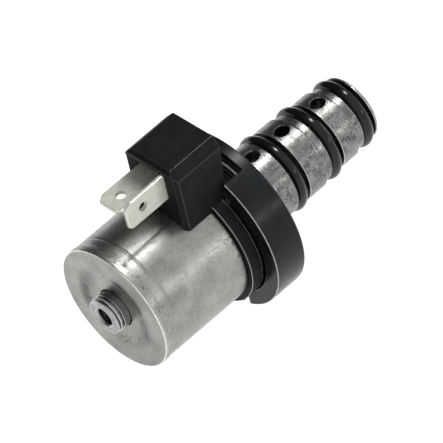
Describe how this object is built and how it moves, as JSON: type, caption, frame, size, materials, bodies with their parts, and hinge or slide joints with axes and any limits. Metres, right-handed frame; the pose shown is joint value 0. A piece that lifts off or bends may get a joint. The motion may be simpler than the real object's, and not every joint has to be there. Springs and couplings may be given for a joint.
{
  "type": "solenoid directional valve",
  "caption": "Cartridge solenoid spool valve: steel coil can with two blade terminals, black mounting flange, and a stepped ported sleeve with O-rings.",
  "frame": {"origin": "centre of the flange's seating face, on the valve's axis", "axes": "+X along the valve's axis from the override nose to the cartridge tip, +Z towards the electrical connector"},
  "size_m": [0.0685, 0.0364, 0.045],
  "materials": {
    "zinc_plated_steel": "dull zinc-plated drawn steel, finely mottled",
    "machined_steel": "turned steel, satin",
    "sleeve_steel": "turned and phosphated steel, satin with fine speckle",
    "bright_steel": "ground bright steel",
    "tinned_blade": "tin-plated brass blade, warm grey satin",
    "black_nylon": "matt black glass-filled nylon",
    "flange_black": "smooth semi-gloss black moulding",
    "black_rubber": "lightly oiled black nitrile rubber",
    "enamelled_copper": "enamelled copper",
    "amber_tape": "amber polyester tape",
    "brass_shim": "rolled brass",
    "white_ptfe": "white PTFE"
  },
  "bodies": {
    "valve_body": {"coil_can": "zinc_plated_steel", "nose_plug": "machined_steel", "nose_snap_ring": "bright_steel", "nose_seal": "black_rubber", "override_spring": "bright_steel", "coil_bobbin": "black_nylon", "coil_winding": "enamelled_copper", "winding_tape": "amber_tape", "guide_tube": "bright_steel", "anti_stick_shim": "brass_shim", "pin_bush": "white_ptfe", "pole_body": "machined_steel", "pole_seal": "black_rubber", "pole_plate": "bright_steel", "connector_housing": "black_nylon", "terminal_blade_a": "tinned_blade", "terminal_blade_b": "tinned_blade", "lead_wire_a": "enamelled_copper", "lead_wire_b": "enamelled_copper", "mounting_flange": "flange_black", "flange_face_seal": "black_rubber", "cartridge_sleeve": "sleeve_steel", "sleeve_head_seal": "black_rubber", "o_ring_1": "black_rubber", "o_ring_2": "black_rubber", "o_ring_3": "black_rubber", "return_spring": "bright_steel", "end_plug": "machined_steel", "end_clip": "bright_steel"},
    "armature_unit": {"armature": "machined_steel", "push_pin": "bright_steel"},
    "spool_unit": {"spool": "bright_steel"},
    "override_unit": {"override_pin": "machined_steel", "override_o_ring": "black_rubber"}
  },
  "joints": [
    {"name": "armature_slide", "type": "slide", "parent": "valve_body", "child": "armature_unit", "axis": [1, 0, 0], "range_m": [0, 0.002], "stiffness_N_per_m": 1500, "springref_m": -0.004},
    {"name": "spool_slide", "type": "slide", "parent": "valve_body", "child": "spool_unit", "axis": [1, 0, 0], "range_m": [0, 0.002], "deforming": ["return_spring"]},
    {"name": "override_slide", "type": "slide", "parent": "valve_body", "child": "override_unit", "axis": [1, 0, 0], "range_m": [0, 0.002], "deforming": ["override_spring"]}
  ],
  "couplings": [
    {"joint": "spool_slide", "follows": "armature_slide", "ratio": 1},
    {"joint": "override_slide", "follows": "armature_slide", "ratio": 1}
  ]
}
